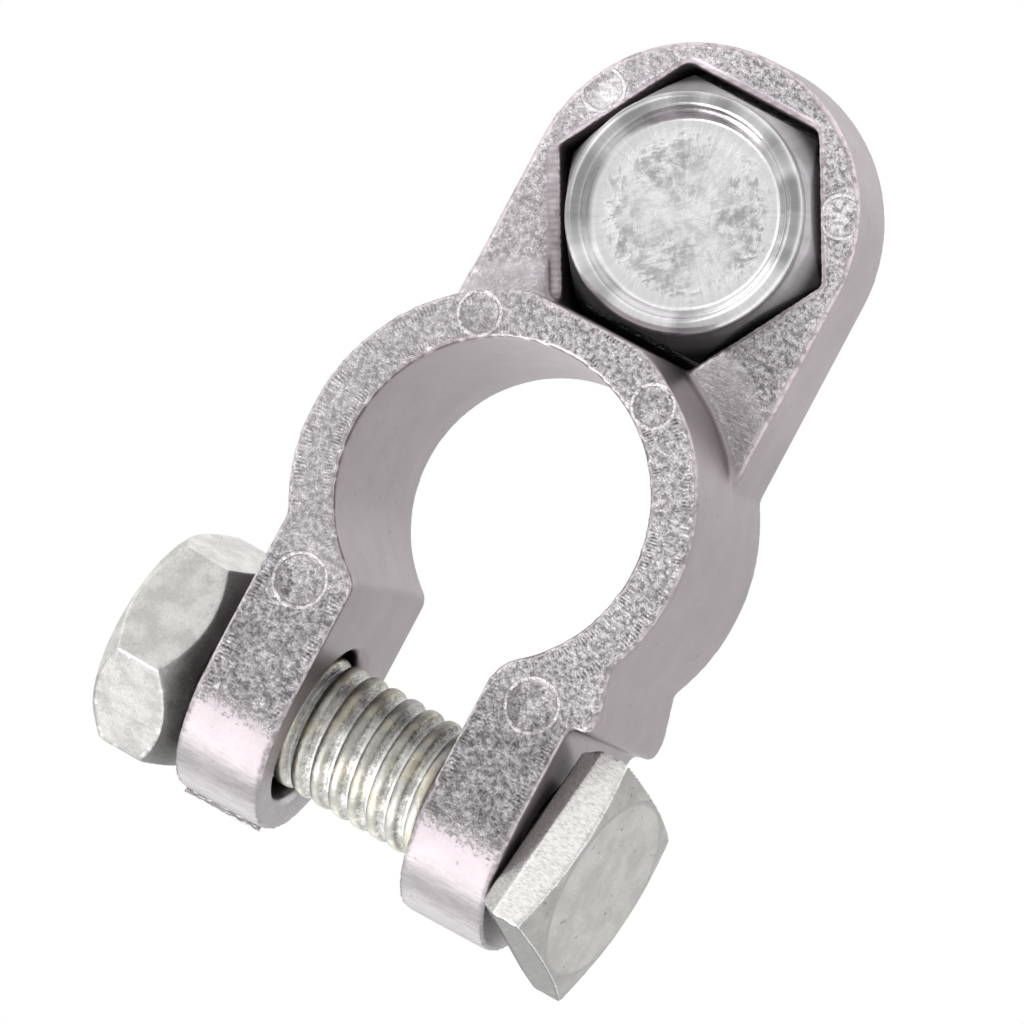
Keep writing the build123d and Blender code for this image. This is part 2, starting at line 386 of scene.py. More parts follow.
def chamfered_bar(length):
    """A bar about Z that trims a thread: wider than it, with a cone at its far end."""
    radius = THREAD_CREST_R + BAR_SPARE
    cone = THREAD_END_CHAMFER + BAR_SPARE
    bpy.ops.mesh.primitive_cylinder_add(
        vertices=THREAD_STEPS, radius=radius, depth=length - cone + MM,
        location=(0, 0, (length - cone - MM) / 2),
    )
    bar = bpy.context.object
    bpy.ops.object.transform_apply(location=True, rotation=True, scale=True)
    edit_top(bar)
    bpy.ops.mesh.extrude_region_move(TRANSFORM_OT_translate={"value": (0, 0, cone)})
    share = (radius - cone) / radius
    bpy.ops.transform.resize(value=(share, share, 1), center_override=(0, 0, length))
    leave_edit()
    return bar


def cut_off(piece, point, normal):
    """Cuts away what lies past a plane and closes the cut."""
    edit_all(piece)
    bpy.ops.mesh.bisect(
        plane_co=point, plane_no=normal, use_fill=True, clear_outer=True, threshold=CUT_MERGE
    )
    leave_edit()


def keep_shared(piece, other):
    """Keeps what a piece shares with another, which is used up."""
    boolean = piece.modifiers.new("shared", "BOOLEAN")
    boolean.operation = "INTERSECT"
    boolean.object = other
    boolean.solver = "EXACT"
    apply_modifier(piece, boolean)
    bpy.data.objects.remove(other)


def hand_in(piece, body, slot, *nodes):
    """Names the body that a piece rides on and hides the solids that it stands for; its slot is
    not used.
    """
    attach(piece, body)
    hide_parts(*nodes)


# ---------------------------------------------------------------- materials

class Graph:
    """Adds nodes to a tree of shader nodes."""

    def __init__(self, tree):
        self.nodes = tree.nodes
        self.links = tree.links

    def add(self, kind, inputs=None, **settings):
        """A node of one kind, with its inputs set to values or linked to sockets."""
        node = self.nodes.new("ShaderNode" + kind)
        for name, value in settings.items():
            setattr(node, name, value)
        for name, value in (inputs or {}).items():
            self.feed(node, name, value)
        return node

    def feed(self, node, name, value):
        """Sets or links one input."""
        socket = node.inputs[name]
        if isinstance(value, bpy.types.NodeSocket):
            self.links.new(value, socket)
        else:
            socket.default_value = value

    def place_mm(self):
        """The point on the piece, in millimetres."""
        return self.scaled(self.add("TexCoord").outputs["Object"], 1 / MM)

    def noise(self, vector, scale, detail=3.0, roughness=0.6):
        """A noise value about 0.5; scale is in waves to the millimetre."""
        return self.add(
            "TexNoise",
            {"Vector": vector, "Scale": scale, "Detail": detail, "Roughness": roughness},
        ).outputs["Fac"]

    def ramp(self, value, low, high, to_low=0.0, to_high=1.0):
        """Maps a range of values smoothly onto another."""
        return self.add(
            "MapRange",
            {"Value": value, "From Min": low, "From Max": high,
             "To Min": to_low, "To Max": to_high},
            interpolation_type="SMOOTHSTEP",
        ).outputs[0]

    def near(self, value, middle, reach):
        """1 at a value and 0 farther from it than a reach."""
        away = self.maths("ABSOLUTE", self.maths("SUBTRACT", value, middle))
        return self.ramp(away, reach * 0.4, reach, 1.0, 0.0)

    def maths(self, operation, first, second=0.0):
        """The result of one sum on two values."""
        return self.add("Math", {0: first, 1: second}, operation=operation).outputs[0]

    def times(self, *values):
        """The product of several values."""
        product = values[0]
        for value in values[1:]:
            product = self.maths("MULTIPLY", product, value)
        return product

    def plus(self, *values):
        """The sum of several values."""
        total = values[0]
        for value in values[1:]:
            total = self.maths("ADD", total, value)
        return total

    def less(self, value):
        """1 less a value."""
        return self.maths("SUBTRACT", 1.0, value)

    def gain(self, mask, change):
        """1, or 1 and a change where a mask is full."""
        return self.plus(1.0, self.times(mask, change))

    def between(self, share, first, second):
        """A blend of two values."""
        return self.add(
            "Mix", {"Factor": share, 2: first, 3: second}, data_type="FLOAT"
        ).outputs[0]

    def mix(self, share, first, second):
        """A blend of two colours."""
        return self.add(
            "Mix", {"Factor": share, 6: first, 7: second}, data_type="RGBA"
        ).outputs[2]

    def vector(self, operation, first, second):
        """The result of one sum on two vectors."""
        return self.add("VectorMath", {0: first, 1: second}, operation=operation).outputs[0]

    def scaled(self, vector, value):
        """A colour or a point times a value."""
        return self.add("VectorMath", {0: vector, "Scale": value}, operation="SCALE").outputs[0]

    def distance(self, first, second):
        """How far apart two points are."""
        return self.add(
            "VectorMath", {0: first, 1: second}, operation="DISTANCE"
        ).outputs["Value"]

    def stretched(self, point, factors):
        """The point with each axis scaled, so that a noise of it makes streaks."""
        return self.vector("MULTIPLY", point, factors)


class Metal(Graph):
    """A metal's material, with the values that its looks are made from."""

    def __init__(self, name, metallic):
        self.material = bpy.data.materials.new(name)
        self.material.use_nodes = True
        super().__init__(self.material.node_tree)
        self.shader = self.nodes["Principled BSDF"]
        self.shader.inputs["Metallic"].default_value = metallic
        self.point = self.place_mm()
        self.x, self.y, self.z = self.add("SeparateXYZ", {0: self.point}).outputs
        self.side_x = self.maths("ABSOLUTE", self.x)

    def level(self, x):
        """The point with one value for its X and none for its height."""
        return self.add("CombineXYZ", {0: x, 1: self.y}).outputs[0]

    def radius_about(self, centre_mm):
        """The distance from an upright axis, in millimetres."""
        return self.distance(self.level(self.x), centre_mm)

    def radius_about_line(self, middle, axis):
        """The distance from a slanting axis, in millimetres."""
        away = self.vector("SUBTRACT", self.point, middle / MM)
        across = self.vector("CROSS_PRODUCT", away, axis)
        return self.add("VectorMath", {0: across}, operation="LENGTH").outputs["Value"]

    def facing(self):
        """The three parts of the direction that the surface faces."""
        normal = self.add("TexCoord").outputs["Normal"]
        return self.add("SeparateXYZ", {0: normal}).outputs

    def bend(self):
        """How sharply the surface bends: over 0.5 on an edge, and under it in a corner."""
        return self.add("NewGeometry").outputs["Pointiness"]

    def finish(self, colour, roughness, height, strength, depth_mm):
        """Links the colour, the roughness and the relief; gives back the material."""
        self.feed(self.shader, "Base Color", colour)
        self.feed(self.shader, "Roughness", roughness)
        bump = self.add(
            "Bump", {"Height": height, "Strength": strength, "Distance": depth_mm * MM}
        )
        self.feed(self.shader, "Normal", bump.outputs[0])
        return self.material


class CastAlloy(Metal):
    """Bare die-cast alloy: crumbly speckled flats and smooth drawn walls."""

    def __init__(self):
        super().__init__("cast_alloy", 0.9)
        self.crumb = self.noise(self.point, 2.9, 4.0, 0.72)
        self.speck = self.noise(self.point, 7.0, 2.0, 0.6)
        self.scribble = self.near(self.noise(self.point, 1.9, 4.0, 0.62), 0.5, 0.03)
        self.cloud = self.noise(self.point, 0.5, 3.0, 0.6)
        self.blotch = self.noise(self.point, 1.0, 4.0, 0.65)
        # Drawing marks run along the walls, most of all over the ears' ends.
        self.drawn = self.noise(self.stretched(self.point, (0.5, 3.0, 3.0)), 1.6)
        self.upright = self.maths("ABSOLUTE", self.facing()["Z"])
        self.radius = self.radius_about((0, 0, 0))
        self.on_lug_face = self.ramp(self.z, *LUG_FACE_FROM_Z)
        # The lug's raised band round the ring is smooth, and its flats are painted brighter as a
        # painted sheen.
        self.band = self.times(
            self.ramp(self.radius, *BAND_TO_R), self.ramp(self.radius, *BAND_FROM_R),
            self.on_lug_face,
        )
        self.crumbly = self.less(self.times(self.band, 0.75))
        self.ticks = self.tick_rows()
        self.rims, self.insides = self.pin_marks()

    def flats(self):
        """The crumbly faces, which end in a jagged line where the ears' ends round over."""
        level = self.plus(self.upright, self.ramp(self.crumb, 0.3, 0.7, -0.03, 0.03))
        return self.times(self.ramp(level, 0.94, 0.975), self.ramp(self.y, *FLATS_FROM_Y))

    def face_light(self):
        """The brightness of the flats: speckled, scribbled over and marked by tools, with a
        painted sheen on the lug's band and a painted highlight on the ejector marks' rims.
        """
        # The ring is worn smoother on the nut's side.
        worn_side = self.times(
            self.ramp(self.x, *WORN_SIDE_FROM_X), self.ramp(self.y, *WORN_SIDE_FROM_Y)
        )
        speckle = self.plus(
            self.ramp(self.crumb, 0.4, 0.6, 0.0, 0.8), self.ramp(self.speck, 0.3, 0.7, 0.0, 0.25),
            # The ejector marks' rims add a painted highlight here.
            self.times(self.scribble, 0.6), self.times(self.ticks, 0.3), self.rims,
            self.times(self.insides, self.ramp(self.blotch, 0.42, 0.58, 0.14, -0.15)),
        )
        return self.times(
            self.plus(
                0.37,
                self.times(speckle, self.crumbly, self.ramp(worn_side, 0, 1, 0.98, 0.65)),
                # Painted sheen on the lug's smooth band.
                self.times(self.band, 0.5), self.times(worn_side, 0.21),
            ),
            self.ramp(self.cloud, 0.25, 0.75, 0.86, 1.14),
            self.patches(),
        )

    def patches(self):
        """The lug is painted brighter than the ring, as painted light where the ring shades it
        from the key lamp; the ears are mottled, most at the square head.
        """
        # Painted light on the lug's face, which the ring shades from the key lamp.
        lug = self.times(self.ramp(self.y, *LUG_FROM_Y), self.on_lug_face)
        ear = self.ramp(self.y, *EARS_FROM_Y)
        head_side = self.times(ear, self.ramp(self.x, 1, -1))
        ear_dark = self.times(ear, self.ramp(self.blotch, 0.4, 0.6, 0.0, 0.34))
        return self.plus(
            1.0, self.times(lug, 0.22), self.times(ear, -0.06), self.times(ear_dark, -1.0),
            self.times(head_side, -0.12),
        )

    def walls(self, wall_colour):
        """The colour of the walls: drawn, faintly clouded and pitted, painted brighter on the lug
        as painted light, with cleaner ends.
        """
        ends = self.ramp(self.y, *EAR_ENDS_FROM_Y)
        light = self.times(
            self.ramp(self.cloud, 0.3, 0.7, 0.94, 1.04),
            self.ramp(self.speck, 0.3, 0.7, 0.97, 1.03),
            # Painted light on the lug's walls.
            self.ramp(self.y, *LUG_FROM_Y, 1.0, 1.2),
            self.gain(ends, self.ramp(self.drawn, 0.35, 0.65, 0.0, 0.2)),
            self.ramp(self.noise(self.point, 1.9), 0.66, 0.72, 1.0, 0.72),
        )
        return self.scaled(self.mix(ends, (*wall_colour, 1), (*EAR_END, 1)), light)

    def edge_light(self, ledge):
        """What edges and corners do to the brightness: edges worn bright and given a painted
        highlight, inside corners darkened as painted shade, the ledges' painted highlight and the
        painted shade of the holes and the pocket.
        """
        bend = self.bend()
        # Edges are painted brighter: partly real wear, partly a painted highlight.
        worn = self.times(
            self.ramp(bend, 0.515, 0.55), self.ramp(self.upright, 0.12, 0.3),
            self.ramp(self.y, *WORN_EDGES_FROM_Y),
            self.ramp(self.noise(self.point, 2.2), 0.35, 0.55),
        )
        # Inside corners are painted darker, a painted shade.
        crease_painted_shade = self.ramp(bend, 0.485, 0.44)
        return self.times(
            # The ledges' ribs add a painted highlight here.
            self.plus(1.0, worn, self.times(crease_painted_shade, -0.35), self.times(ledge, 1.6)),
            self.hole_and_pocket_shade(),
        )

    def ledge_ribs(self):
        """Ribs across the two shallow ledges in the mouth of the stud's pocket, drawn as stripes
        of painted highlight.
        """
        on_ledge = self.times(
            self.near(self.z, POCKET_MOUTH_Z + LEDGE_DEPTH, 0.3),
            self.ramp(
                self.radius_about(STUD_CENTRE), POCKET_CORNER_R + 0.6, POCKET_CORNER_R + 0.3
            ),
        )
        ribs = self.maths("SINE", self.times(self.plus(self.y, self.times(self.x, 0.6)), 15.0))
        worn = self.ramp(self.noise(self.point, 1.5), 0.35, 0.6, 0.5, 1.0)
        return self.times(
            on_ledge, worn, self.ramp(ribs, -1, 1, 0.6, 0.95), self.ramp(self.upright, 0.4, 0.7)
        )

    def hole_and_pocket_shade(self):
        """Painted shade: how much the clamp bolt's holes and the depth of the pocket darken the
        colour.
        """
        in_hole = self.times(
            self.ramp(self.radius_about_line(BOLT_MIDDLE, BOLT_AXIS), HOLE_R + 0.2, HOLE_R - 0.05),
            self.ramp(self.side_x, GAP_SIDE_X + 0.3, GAP_SIDE_X + 0.9),
        )
        in_pocket = self.times(
            self.ramp(self.radius_about(STUD_CENTRE), POCKET_CORNER_R + 0.4, POCKET_CORNER_R),
            self.ramp(self.z, POCKET_MOUTH_Z + 1.0, POCKET_MOUTH_Z + 3.0),
            self.ramp(self.z, *POCKET_TO_Z),
        )
        return self.times(self.gain(in_hole, -0.85), self.gain(in_pocket, -0.6))

    def pin_marks(self):
        """The rims and the insides of the ejector pins' marks, as two values; the rims are also
        painted bright as a painted highlight.
        """
        spot = self.level(self.side_x)
        rims = insides = 0.0
        for x, y, radius in PIN_MARKS:
            away = self.distance(spot, (x, y, 0))
            rims = self.plus(rims, self.near(away, radius, 0.16))
            insides = self.plus(insides, self.ramp(away, radius - 0.1, radius, 1.0, 0.0))
        return rims, insides

    def tick_rows(self):
        """Fine tool marks in rows: round the ring's two edges and down the ears' edges."""
        angle = self.maths("ARCTAN2", self.y, self.x)
        on_ring = self.times(
            self.plus(*(self.near(self.radius, at, reach) for at, reach in RING_TICKS_R)),
            self.ramp(self.y, -8.0, -6.5),
            self.maths("SINE", self.times(angle, 330.0)),
        )
        on_ears = self.times(
            self.plus(*(self.near(self.side_x, at, reach) for at, reach in EAR_TICKS_X)),
            self.ramp(self.y, -8.0, -9.5),
            self.maths("SINE", self.times(self.y, 28.0)),
        )
        worn = self.ramp(self.noise(self.point, 0.9, 2.0, 0.5), 0.42, 0.6)
        return self.times(self.plus(on_ring, on_ears), worn)


def casting_material(face_colour, wall_colour):
    """The casting's alloy, put together from its flats, walls, edges and marks."""
    metal = CastAlloy()
    flat = metal.flats()
    ledge = metal.ledge_ribs()
    metal.feed(metal.shader, "Metallic", metal.ramp(ledge, 0, 0.5, 0.9, 0.2))
    colour = metal.mix(
        flat, metal.walls(wall_colour), metal.scaled(face_colour, metal.face_light())
    )
    rough = metal.between(flat, 0.34, metal.ramp(metal.crumb, 0.3, 0.7, 0.42, 0.22))
    height = metal.plus(
        metal.times(metal.crumb, metal.crumbly, 1.4), metal.times(metal.speck, 0.4),
        metal.times(metal.drawn, 0.6), metal.times(metal.scribble, metal.crumbly, 0.35),
        metal.times(metal.ticks, 0.3), metal.times(metal.rims, 1.2),
    )
    return metal.finish(
        metal.scaled(colour, metal.edge_light(ledge)), rough, height,
        metal.ramp(flat, 0, 1, 0.05, 0.75), 0.14,
    )


def plating_value(metal, streaks, contrast):
    """The streaky, cloudy brightness of plating, and its streaks and clouds."""
    fine = metal.noise(metal.stretched(metal.point, streaks), 3.0, 4.0, 0.65)
    cloud = metal.noise(metal.point, 0.7, 4.0, 0.65)
    value = metal.times(
        metal.ramp(cloud, 0.36, 0.64, 1.0 - contrast, 1.0),
        metal.ramp(fine, 0.35, 0.65, 0.88, 1.04),
    )
    return value, fine, cloud


def washer_material(colour):
    """Bright zinc plating with faint clouds."""
    metal = Metal("washer_plating", 1.0)
    value, fine, cloud = plating_value(metal, (1, 1, 1), 0.2)
    rough = metal.ramp(fine, 0.3, 0.7, 0.26, 0.4)
    height = metal.plus(fine, metal.times(cloud, 1.5))
    return metal.finish(metal.scaled(colour, value), rough, height, 0.35, 0.1)


def nut_material(colour):
    """Drawn hexagon plating: streaks, edges worn bright and given a painted highlight, and painted
    shade at the bearing face.
    """
    metal = Metal("nut_plating", 1.0)
    value, fine, cloud = plating_value(metal, (5, 1.6, 1.6), 0.22)
    facing = metal.facing()
    # Sides that face -Y are painted darker as painted shade, and those that face +Y are painted
    # brighter as painted light.
    minus_y_painted_shade = metal.ramp(facing["Y"], -0.45, -0.62)
    plus_y_painted_shading = metal.ramp(facing["Y"], 0.6, 0.9)
    # Painted shade on the bearing face, in the gap against the ear.
    bearing = metal.times(
        metal.ramp(facing["X"], -0.12, -0.4), metal.ramp(metal.y, *CLAMP_NUT_FROM_Y),
        metal.ramp(metal.x, NUT_BEARING_X + 3.0, NUT_BEARING_X + 0.5),
    )
    # Edges painted brighter: partly wear, partly a painted highlight.
    edges = metal.times(metal.ramp(metal.bend(), 0.525, 0.57), metal.less(bearing))
    value = metal.times(
        value, metal.plus(1.0, metal.times(minus_y_painted_shade, -0.33), metal.times(plus_y_painted_shading, 0.28)),
        metal.gain(edges, 0.4), metal.gain(bearing, -0.8),
    )
    rough = metal.ramp(fine, 0.3, 0.7, 0.26, 0.38)
    height = metal.plus(metal.times(fine, metal.ramp(minus_y_painted_shade, 0, 1, 1.0, 0.2)), cloud)
    return metal.finish(metal.scaled(colour, value), rough, height, 0.25, 0.1)


def thread_material(name, colour, middle, axis):
    """Grey crests with cream patches, painted darker as painted shade on the sides that face +Y,
    and ragged lines of painted highlight down in the roots.
    """
    metal = Metal(name, 1.0)
    radius = metal.radius_about_line(middle, axis)
    ragged = metal.noise(metal.point, 3.4, 4.0, 0.75)
    cloud = metal.noise(metal.point, 0.8, 4.0, 0.65)
    cream = metal.ramp(metal.noise(metal.point, 0.55, 2.0, 0.5), 0.5, 0.62, 0.0, 0.6)
    crest, root = THREAD_CREST_R / MM, THREAD_ROOT_R / MM
    edge = metal.plus(radius, metal.ramp(ragged, 0.3, 0.7, -0.2, 0.2))
    # The roots are painted white, a painted highlight.
    bright = metal.ramp(edge, crest - 0.1, root + 0.14)
    # Sides that face +Y are painted darker, a painted shade.
    plus_y_painted_shading = metal.ramp(metal.facing()["Y"], -0.1, 0.7, 1.0, 0.62)
    band = metal.mix(cream, (*colour, 1), (*CREAM, 1))
    tint = metal.mix(bright, band, (*ROOT_PAINTED_HIGHLIGHT, 1))
    value = metal.times(metal.ramp(cloud, 0.36, 0.64, 0.72, 1.04), plus_y_painted_shading)
    rough = metal.ramp(bright, 0, 1, 0.36, 0.2)
    height = metal.plus(metal.times(ragged, metal.plus(0.7, bright)), cloud)
    return metal.finish(metal.scaled(tint, value), rough, height, 0.6, 0.1)


def square_head_material(colour):
    """Dull forged plating: grainy bright sides with painted shade, a neck painted dark as painted
    shade, edges worn bright with a painted highlight, and a grey face with dark pits.
    """
    metal = Metal("dull_plating", 0.95)
    facing = metal.facing()
    face = metal.ramp(facing["X"], -0.75, -0.9)
    minus_y_painted_shade = metal.ramp(facing["Y"], -0.55, -0.85)
    bearing = metal.ramp(facing["X"], 0.6, 0.85)
    about = metal.radius_about_line(BOLT_MIDDLE, BOLT_AXIS)
    fine = metal.noise(metal.stretched(metal.point, (1, 3, 3)), 3.0, 4.0, 0.7)
    cloud = metal.noise(metal.point, 0.6)
    pits = metal.ramp(metal.noise(metal.point, 1.7), 0.66, 0.72)
    # A faint circle bounds the face's flat, and the corners outside it are duller.
    circle = metal.times(
        metal.near(about, FACE_CIRCLE_R, 0.22), metal.ramp(cloud, 0.4, 0.6, 0.3, 1.0)
    )
    face_light = metal.plus(
        metal.times(
            metal.ramp(cloud, 0.3, 0.7, 0.68, 0.84), metal.ramp(fine, 0.3, 0.7, 0.92, 1.07)
        ),
        metal.times(pits, -0.4), metal.times(circle, -0.16),
        metal.times(metal.ramp(about, *FACE_CORNER_R, 0.0, 0.14), -1.0),
    )
    # The sides are painted darker as painted shade where they face -Y, on the bevel towards the
    # ear and on the bearing face.
    side_light = metal.times(
        metal.ramp(fine, 0.36, 0.6, 0.92, 1.3), metal.ramp(minus_y_painted_shade, 0, 1, 1.0, 0.24),
        metal.ramp(facing["X"], 0.22, 0.36, 1.0, 0.66), metal.gain(bearing, -0.8),
    )
    # Painted shade on the neck, in the gap under the head.
    neck_painted_shade = metal.times(metal.ramp(about, *NECK_R), metal.ramp(metal.x, *NECK_FROM_X))
    # Edges painted brighter: partly wear, partly a painted highlight.
    edges = metal.times(metal.ramp(metal.bend(), 0.52, 0.56), metal.ramp(fine, 0.4, 0.6))
    value = metal.times(
        metal.between(face, side_light, face_light), metal.gain(neck_painted_shade, -0.75),
        metal.gain(edges, 0.35),
    )
    rough = metal.plus(0.3, metal.times(face, 0.1), metal.times(minus_y_painted_shade, 0.1))
    height = metal.plus(fine, metal.times(pits, -1.5))
    return metal.finish(metal.scaled(colour, value), rough, height, 0.35, 0.1)


def dish_scuffs(metal):
    """Fine scratches that run two ways, each way in patches of its own."""
    scratches = []
    for turn_deg in (25, -50):
        turned = metal.add(
            "VectorRotate", {"Vector": metal.point, "Angle": math.radians(turn_deg)},
            rotation_type="Z_AXIS",
        ).outputs[0]
        scratches.append(metal.noise(metal.stretched(turned, (3.2, 1.1, 1.0)), 1.1, 5.0, 0.75))
    first = metal.ramp(metal.noise(metal.point, 0.5), 0.35, 0.65)
    return metal.plus(
        metal.times(scratches[0], first), metal.times(scratches[1], metal.less(first))
    )


def stud_head_material(colour):
    """The stud's head: a dish scuffed dark in patches inside a smooth bright border, with a
    painted dark reflection in stretches on that border and painted shade on the flanks.
    """
    metal = Metal("scuffed_plating", 1.0)
    radius = metal.radius_about(STUD_CENTRE)
    spoke = metal.vector("SUBTRACT", metal.level(metal.x), STUD_CENTRE)
    spoke = metal.add("VectorMath", {0: spoke}, operation="NORMALIZE").outputs[0]
    ray = metal.noise(spoke, 14.0)

    scuff = dish_scuffs(metal)
    patch = metal.noise(metal.point, 0.34, 3.0, 0.55)
    mottle = metal.noise(metal.point, 1.3, 5.0, 0.7)
    wander = metal.plus(radius, metal.ramp(scuff, 0.3, 0.7, -0.6, 0.6))
    dish = metal.ramp(wander, *DISH_R, 1.0, 0.0)
    dark = metal.times(
        dish, metal.ramp(patch, 0.66, 0.4, 0.15, 1.0),
        metal.ramp(metal.plus(scuff, mottle), 1.16, 0.86), 0.58,
    )

    # The border round the dish is painted darker in long stretches, a painted dark reflection of
    # the pocket's walls.
    stretch = metal.noise(spoke, 1.3, 2.0, 0.5)
    rim_painted_reflection = metal.times(
        metal.ramp(radius, *RIM_FROM_R), metal.ramp(stretch, 0.42, 0.6, 0.02, 0.58),
        metal.ramp(radius, *RIM_TO_R),
    )
    # The flanks are less metallic, so they show pale down in the pocket; on the ring's side they
    # are painted darker as painted shade.
    flank = metal.ramp(radius, *FLANK_FROM_R)
    metal.feed(metal.shader, "Metallic", metal.ramp(flank, 0, 1, 1.0, 0.3))
    outer = metal.add("SeparateXYZ", {0: spoke}).outputs["Y"]
    ring_side_painted_shade = metal.times(flank, metal.ramp(outer, 0.2, -0.6, 0.0, 0.8))
    value = metal.times(
        metal.plus(1.22, metal.times(dark, -1.0)), metal.ramp(ray, 0.35, 0.65, 0.94, 1.03),
        metal.gain(rim_painted_reflection, -1.0), metal.less(ring_side_painted_shade),
        # The flanks' corners, deep in the pocket, are painted darker as painted shade.
        metal.ramp(radius, *FLANK_CORNER_R, 1.0, 0.3),
    )
    rough = metal.plus(0.18, metal.times(dish, metal.ramp(scuff, 0.35, 0.6, 0.02, 0.12)))
    height = metal.plus(metal.times(scuff, metal.plus(0.15, dish)), metal.times(ray, 0.2))
    return metal.finish(metal.scaled(colour, value), rough, height, 0.3, 0.12)


# ---------------------------------------------------------------- operators

class CLAMP_OT_casting(bpy.types.Operator):
    """Add the die-cast body with rounded edges"""

    bl_idname = "clamp.casting"
    bl_label = "Casting"

    def execute(self, context):
        settings = context.scene.clamp_casting
        alloy = casting_material(settings.face_colour, settings.wall_colour)
        body = cad_copy("clamp_body", "casting")
        soften_edges(body, settings.grain, passes=4)
        body.data.materials.append(alloy)
        hand_in(body, "clamp", "casting", "clamp_body")
        flash = self.flash(settings.flash)
        flash.data.materials.append(alloy)
        hand_in(flash, "clamp", "casting")
        return {"FINISHED"}

    def flash(self, reach):
        """The ragged rib of flash across the end of the ear beside the nut."""
        low, high = FLASH_X
        bpy.ops.object.select_all(action="DESELECT")
        bpy.ops.mesh.primitive_cube_add(
            size=1, location=((low + high) / 2, FLASH_Y, FLASH_Z),
            scale=(high - low, 2 * reach, FLASH_THICK),
        )
        rib = bpy.context.object
        rib.name = "parting_flash"
        bpy.ops.object.transform_apply(location=True, rotation=True, scale=True)
        edit_all(rib)
        bpy.ops.mesh.subdivide(number_cuts=FLASH_CUTS)
        bpy.ops.transform.vertex_random(offset=FLASH_WANDER, seed=FLASH_SEED)
        leave_edit()
        soften_edges(rib, FLASH_THICK / 4, passes=3)
        return rib


class CLAMP_OT_bolts(bpy.types.Operator):
    """Add the square-headed clamp bolt and the stud bolt, with rolled threads"""

    bl_idname = "clamp.bolts"
    bl_label = "Bolts"

    def execute(self, context):
        settings = context.scene.clamp_fasteners
        dull = square_head_material(settings.colour)
        scuffed = stud_head_material(settings.stud_colour)
        self.bolt("clamp_bolt", settings, BOLT_MIDDLE, BOLT_AXIS, SQUARE_BEARING, dull)
        self.bolt("stud_bolt", settings, STUD_MIDDLE, STUD_AXIS, STUD_BEARING, scuffed)
        return {"FINISHED"}

    def bolt(self, node, settings, middle, axis, bearing, forged):
        """One bolt: the solid's head and plain neck, with a threaded shank under them."""
        tip = max((v.co - middle).dot(axis) for v in frame["nodes"][node].data.vertices)
        neck_end = bearing + PLAIN_NECK
        head = cad_copy(node, node + "_finished")
        cut_off(head, middle + axis * neck_end, axis)
        soften_edges(head, settings.grain, passes=3)
        head.data.materials.append(forged)
        start = neck_end - THREAD_SUNK
        # The thread's phase counts from the head's bearing face.
        phase = (THREAD_PHASE + (start - bearing) / settings.pitch) % 1.0
        rod = thread_rod(node + "_thread", tip - start, settings.pitch, phase)
        rod.data.materials.append(
            thread_material(node + "_plating", settings.thread_colour, middle, axis)
        )
        place(rod, middle + axis * start, axis)
        activate(head)
        rod.select_set(True)
        bpy.ops.object.join()
        smooth(head)
        hand_in(head, "clamp", "plated_steel", node)


class CLAMP_OT_nuts(bpy.types.Operator):
    """Add the two hexagon nuts and the two washers"""

    bl_idname = "clamp.nuts"
    bl_label = "Nuts and washers"

    def execute(self, context):
        settings = context.scene.clamp_fasteners
        nut = nut_material(settings.colour)
        washer = washer_material(settings.colour)
        fine, coarse = settings.grain, settings.grain * 1.5
        for node, body, plating, grain in (
            ("clamp_nut", "clamp_nut", nut, fine),
            ("stud_nut", "stud_nut", nut, fine),
            ("stud_washer", "clamp", washer, coarse),
            ("stud_spring_washer", "clamp", washer, coarse),
        ):
            piece = cad_copy(node, node + "_finished")
            soften_edges(piece, grain, passes=3)
            piece.data.materials.append(plating)
            hand_in(piece, body, "plated_steel", node)
        return {"FINISHED"}


